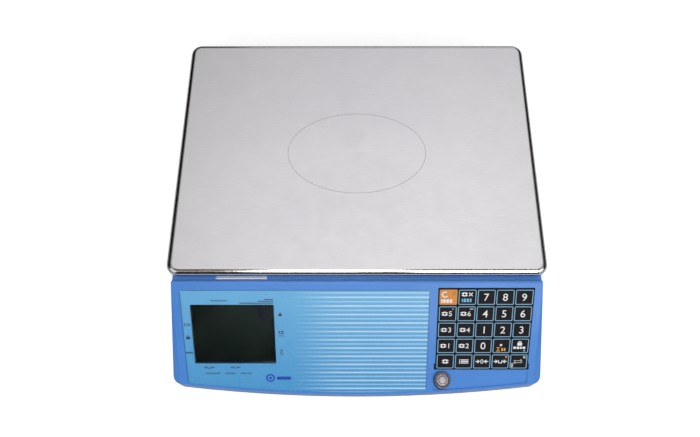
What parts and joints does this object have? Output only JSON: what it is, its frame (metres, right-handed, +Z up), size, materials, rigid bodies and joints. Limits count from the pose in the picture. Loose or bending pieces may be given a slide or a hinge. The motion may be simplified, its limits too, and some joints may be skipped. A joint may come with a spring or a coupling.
{
  "type": "price computing scale",
  "caption": "Counter weighing scale with a flat steel pan, sloping blue front panel, LCD window, square keypad and bubble level.",
  "frame": {"origin": "on the counter, under the middle of the casing", "axes": "+X to the user's right, +Y away from the user, +Z up"},
  "size_m": [0.3544, 0.3474, 0.108],
  "materials": {
    "casing_blue": "moulded ABS, satin gloss",
    "overlay_blue": "printed polyester sheet with fine pale stripes",
    "clear_window": "clear polycarbonate",
    "smoked_window": "smoked acrylic",
    "lcd_glass": "dark green-black liquid crystal glass",
    "circuit_board": "green glass-fibre board",
    "keypad_black": "black printed plate",
    "key_black": "black key with pale outline and legend",
    "key_orange": "orange key",
    "level_grey": "grey vial with clear lens",
    "stainless": "fine brushed, polished rolled edge",
    "cast_aluminium": "as cast",
    "cell_aluminium": "machined",
    "zinc_steel": "zinc plated",
    "rubber_black": "moulded rubber",
    "battery_case": "battery case",
    "switch_black": "moulded nylon"
  },
  "bodies": {
    "casing": {"top_cover": "casing_blue", "base_cover": "casing_blue", "display_overlay": "overlay_blue", "display_window": "clear_window", "lcd_front": "lcd_glass", "lcd_front_board": "circuit_board", "keypad_frame": "keypad_black", "keypad_circuit": "circuit_board", "bubble_level": "level_grey", "load_cell": "cell_aluminium", "load_cell_bracket": "zinc_steel", "cell_screws_lower": "zinc_steel", "overload_stops": "zinc_steel", "cover_screws": "zinc_steel", "main_board": "circuit_board", "power_supply": "circuit_board", "battery": "battery_case", "rear_display_window": "smoked_window", "lcd_rear": "lcd_glass", "switch_housing": "switch_black", "power_inlet": "switch_black"},
    "load_platform": {"pan_support_frame": "cast_aluminium", "pan_pads": "rubber_black", "cell_screws_upper": "zinc_steel"},
    "pan": {"weighing_pan": "stainless"},
    "rocker": {"power_rocker": "switch_black"},
    "battery_hatch": {"battery_door": "casing_blue"},
    "key_clear": {"key_clear": "key_orange"},
    "key_memory_clear": {"key_memory_clear": "key_black"},
    "key_7": {"key_7": "key_black"},
    "key_8": {"key_8": "key_black"},
    "key_9": {"key_9": "key_black"},
    "key_memory_5": {"key_memory_5": "key_black"},
    "key_memory_6": {"key_memory_6": "key_black"},
    "key_4": {"key_4": "key_black"},
    "key_5": {"key_5": "key_black"},
    "key_6": {"key_6": "key_black"},
    "key_memory_3": {"key_memory_3": "key_black"},
    "key_memory_4": {"key_memory_4": "key_black"},
    "key_1": {"key_1": "key_black"},
    "key_2": {"key_2": "key_black"},
    "key_3": {"key_3": "key_black"},
    "key_memory_1": {"key_memory_1": "key_black"},
    "key_memory_2": {"key_memory_2": "key_black"},
    "key_0": {"key_0": "key_black"},
    "key_point": {"key_point": "key_black"},
    "key_fix_price": {"key_fix_price": "key_black"},
    "key_memory": {"key_memory": "key_black"},
    "key_item_code": {"key_item_code": "key_black"},
    "key_zero_set": {"key_zero_set": "key_black"},
    "key_tare": {"key_tare": "key_black"},
    "key_change": {"key_change": "key_black"},
    "pad_front_left": {"foot_pad_front_left": "rubber_black"},
    "stud_front_left": {"foot_stud_front_left": "zinc_steel"},
    "pad_front_right": {"foot_pad_front_right": "rubber_black"},
    "stud_front_right": {"foot_stud_front_right": "zinc_steel"},
    "pad_rear_left": {"foot_pad_rear_left": "rubber_black"},
    "stud_rear_left": {"foot_stud_rear_left": "zinc_steel"},
    "pad_rear_right": {"foot_pad_rear_right": "rubber_black"},
    "stud_rear_right": {"foot_stud_rear_right": "zinc_steel"}
  },
  "joints": [
    {"name": "platform_load", "type": "slide", "parent": "casing", "child": "load_platform", "axis": [0, 0, 1], "range_m": [-0.0005, 0], "stiffness_N_per_m": 200000, "springref_m": 0.00008, "deforming": ["load_cell"]},
    {"name": "pan_lift", "type": "slide", "parent": "load_platform", "child": "pan", "axis": [0, 0, 1], "range_m": [0, 0.06]},
    {"name": "power_rocker_tilt", "type": "hinge", "parent": "casing", "child": "rocker", "pos_m": [0.16986, 0.105, 0.05581], "axis": [0.1262, 0, -0.992], "range_deg": [0, 17]},
    {"name": "battery_door_slide", "type": "slide", "parent": "casing", "child": "battery_hatch", "axis": [0, 1, 0], "range_m": [0, 0.015]},
    {"name": "key_clear_press", "type": "slide", "parent": "casing", "child": "key_clear", "axis": [0, 0.5957, -0.8032], "range_m": [0, 0.0004], "stiffness_N_per_m": 1200, "springref_m": -0.0003},
    {"name": "key_memory_clear_press", "type": "slide", "parent": "casing", "child": "key_memory_clear", "axis": [0, 0.5957, -0.8032], "range_m": [0, 0.0004], "stiffness_N_per_m": 1200, "springref_m": -0.0003},
    {"name": "key_7_press", "type": "slide", "parent": "casing", "child": "key_7", "axis": [0, 0.5957, -0.8032], "range_m": [0, 0.0004], "stiffness_N_per_m": 1200, "springref_m": -0.0003},
    {"name": "key_8_press", "type": "slide", "parent": "casing", "child": "key_8", "axis": [0, 0.5957, -0.8032], "range_m": [0, 0.0004], "stiffness_N_per_m": 1200, "springref_m": -0.0003},
    {"name": "key_9_press", "type": "slide", "parent": "casing", "child": "key_9", "axis": [0, 0.5957, -0.8032], "range_m": [0, 0.0004], "stiffness_N_per_m": 1200, "springref_m": -0.0003},
    {"name": "key_memory_5_press", "type": "slide", "parent": "casing", "child": "key_memory_5", "axis": [0, 0.5957, -0.8032], "range_m": [0, 0.0004], "stiffness_N_per_m": 1200, "springref_m": -0.0003},
    {"name": "key_memory_6_press", "type": "slide", "parent": "casing", "child": "key_memory_6", "axis": [0, 0.5957, -0.8032], "range_m": [0, 0.0004], "stiffness_N_per_m": 1200, "springref_m": -0.0003},
    {"name": "key_4_press", "type": "slide", "parent": "casing", "child": "key_4", "axis": [0, 0.5957, -0.8032], "range_m": [0, 0.0004], "stiffness_N_per_m": 1200, "springref_m": -0.0003},
    {"name": "key_5_press", "type": "slide", "parent": "casing", "child": "key_5", "axis": [0, 0.5957, -0.8032], "range_m": [0, 0.0004], "stiffness_N_per_m": 1200, "springref_m": -0.0003},
    {"name": "key_6_press", "type": "slide", "parent": "casing", "child": "key_6", "axis": [0, 0.5957, -0.8032], "range_m": [0, 0.0004], "stiffness_N_per_m": 1200, "springref_m": -0.0003},
    {"name": "key_memory_3_press", "type": "slide", "parent": "casing", "child": "key_memory_3", "axis": [0, 0.5957, -0.8032], "range_m": [0, 0.0004], "stiffness_N_per_m": 1200, "springref_m": -0.0003},
    {"name": "key_memory_4_press", "type": "slide", "parent": "casing", "child": "key_memory_4", "axis": [0, 0.5957, -0.8032], "range_m": [0, 0.0004], "stiffness_N_per_m": 1200, "springref_m": -0.0003},
    {"name": "key_1_press", "type": "slide", "parent": "casing", "child": "key_1", "axis": [0, 0.5957, -0.8032], "range_m": [0, 0.0004], "stiffness_N_per_m": 1200, "springref_m": -0.0003},
    {"name": "key_2_press", "type": "slide", "parent": "casing", "child": "key_2", "axis": [0, 0.5957, -0.8032], "range_m": [0, 0.0004], "stiffness_N_per_m": 1200, "springref_m": -0.0003},
    {"name": "key_3_press", "type": "slide", "parent": "casing", "child": "key_3", "axis": [0, 0.5957, -0.8032], "range_m": [0, 0.0004], "stiffness_N_per_m": 1200, "springref_m": -0.0003},
    {"name": "key_memory_1_press", "type": "slide", "parent": "casing", "child": "key_memory_1", "axis": [0, 0.5957, -0.8032], "range_m": [0, 0.0004], "stiffness_N_per_m": 1200, "springref_m": -0.0003},
    {"name": "key_memory_2_press", "type": "slide", "parent": "casing", "child": "key_memory_2", "axis": [0, 0.5957, -0.8032], "range_m": [0, 0.0004], "stiffness_N_per_m": 1200, "springref_m": -0.0003},
    {"name": "key_0_press", "type": "slide", "parent": "casing", "child": "key_0", "axis": [0, 0.5957, -0.8032], "range_m": [0, 0.0004], "stiffness_N_per_m": 1200, "springref_m": -0.0003},
    {"name": "key_point_press", "type": "slide", "parent": "casing", "child": "key_point", "axis": [0, 0.5957, -0.8032], "range_m": [0, 0.0004], "stiffness_N_per_m": 1200, "springref_m": -0.0003},
    {"name": "key_fix_price_press", "type": "slide", "parent": "casing", "child": "key_fix_price", "axis": [0, 0.5957, -0.8032], "range_m": [0, 0.0004], "stiffness_N_per_m": 1200, "springref_m": -0.0003},
    {"name": "key_memory_press", "type": "slide", "parent": "casing", "child": "key_memory", "axis": [0, 0.5957, -0.8032], "range_m": [0, 0.0004], "stiffness_N_per_m": 1200, "springref_m": -0.0003},
    {"name": "key_item_code_press", "type": "slide", "parent": "casing", "child": "key_item_code", "axis": [0, 0.5957, -0.8032], "range_m": [0, 0.0004], "stiffness_N_per_m": 1200, "springref_m": -0.0003},
    {"name": "key_zero_set_press", "type": "slide", "parent": "casing", "child": "key_zero_set", "axis": [0, 0.5957, -0.8032], "range_m": [0, 0.0004], "stiffness_N_per_m": 1200, "springref_m": -0.0003},
    {"name": "key_tare_press", "type": "slide", "parent": "casing", "child": "key_tare", "axis": [0, 0.5957, -0.8032], "range_m": [0, 0.0004], "stiffness_N_per_m": 1200, "springref_m": -0.0003},
    {"name": "key_change_press", "type": "slide", "parent": "casing", "child": "key_change", "axis": [0, 0.5957, -0.8032], "range_m": [0, 0.0004], "stiffness_N_per_m": 1200, "springref_m": -0.0003},
    {"name": "foot_height_front_left", "type": "slide", "parent": "casing", "child": "pad_front_left", "axis": [0, 0, -1], "range_m": [0, 0.006]},
    {"name": "foot_screw_front_left", "type": "hinge", "parent": "pad_front_left", "child": "stud_front_left", "pos_m": [-0.148, -0.135, 0.0085], "axis": [0, 0, 1], "range_deg": [0, 1730]},
    {"name": "foot_height_front_right", "type": "slide", "parent": "casing", "child": "pad_front_right", "axis": [0, 0, -1], "range_m": [0, 0.006]},
    {"name": "foot_screw_front_right", "type": "hinge", "parent": "pad_front_right", "child": "stud_front_right", "pos_m": [0.148, -0.135, 0.0085], "axis": [0, 0, 1], "range_deg": [0, 1730]},
    {"name": "foot_height_rear_left", "type": "slide", "parent": "casing", "child": "pad_rear_left", "axis": [0, 0, -1], "range_m": [0, 0.006]},
    {"name": "foot_screw_rear_left", "type": "hinge", "parent": "pad_rear_left", "child": "stud_rear_left", "pos_m": [-0.148, 0.146, 0.0085], "axis": [0, 0, 1], "range_deg": [0, 1730]},
    {"name": "foot_height_rear_right", "type": "slide", "parent": "casing", "child": "pad_rear_right", "axis": [0, 0, -1], "range_m": [0, 0.006]},
    {"name": "foot_screw_rear_right", "type": "hinge", "parent": "pad_rear_right", "child": "stud_rear_right", "pos_m": [0.148, 0.146, 0.0085], "axis": [0, 0, 1], "range_deg": [0, 1730]}
  ],
  "couplings": [
    {"joint": "foot_screw_front_left", "follows": "foot_height_front_left", "rad_per_m": 5026.5},
    {"joint": "foot_screw_front_right", "follows": "foot_height_front_right", "rad_per_m": 5026.5},
    {"joint": "foot_screw_rear_left", "follows": "foot_height_rear_left", "rad_per_m": 5026.5},
    {"joint": "foot_screw_rear_right", "follows": "foot_height_rear_right", "rad_per_m": 5026.5}
  ]
}
